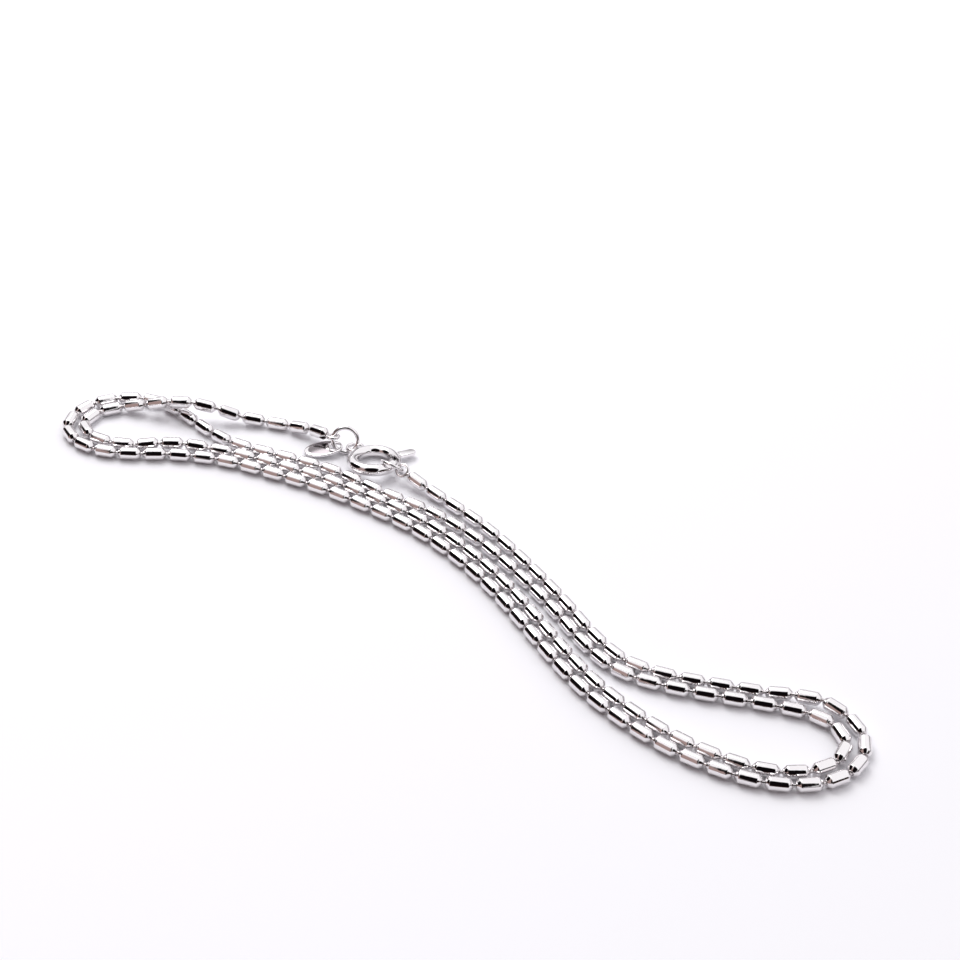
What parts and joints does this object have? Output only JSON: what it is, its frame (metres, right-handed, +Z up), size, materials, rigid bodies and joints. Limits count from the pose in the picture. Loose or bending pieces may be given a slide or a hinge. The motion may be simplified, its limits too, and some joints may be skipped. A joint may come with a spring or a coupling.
{
  "type": "barrel bead chain necklace",
  "caption": "Silver-coloured necklace of long barrel beads on short wire bars, laid in a doubled loop, with a spring ring clasp, jump ring and small oval tag.",
  "frame": {"origin": "middle of the footprint, on the surface that the necklace lies on", "axes": "+X to the right along the long side of the laid loop, +Y away from the viewer, +Z up from the surface"},
  "size_m": [0.0898, 0.0662, 0.0032],
  "materials": {
    "bead_silver": "bright rhodium-plated silver, tumble polished",
    "clasp_silver": "bright polished silver tube",
    "wire_silver": "bright drawn silver wire",
    "tag_silver": "silver sheet with a lightly rubbed polish"
  },
  "bodies": {
    "necklace": {"clasp_body": "clasp_silver", "chain_outer_lap": "bead_silver", "chain_inner_lap": "bead_silver", "end_ring": "wire_silver", "jump_ring": "wire_silver", "oval_tag": "tag_silver"},
    "bolt": {"clasp_bolt": "clasp_silver"}
  },
  "joints": [
    {"name": "clasp_lever", "type": "hinge", "parent": "necklace", "child": "bolt", "pos_m": [-0.00683, 0.01925, 0.00113], "axis": [0.0243, 0.1719, 0.9848], "range_deg": [0, 35], "stiffness_Nm_per_rad": 0.005}
  ]
}
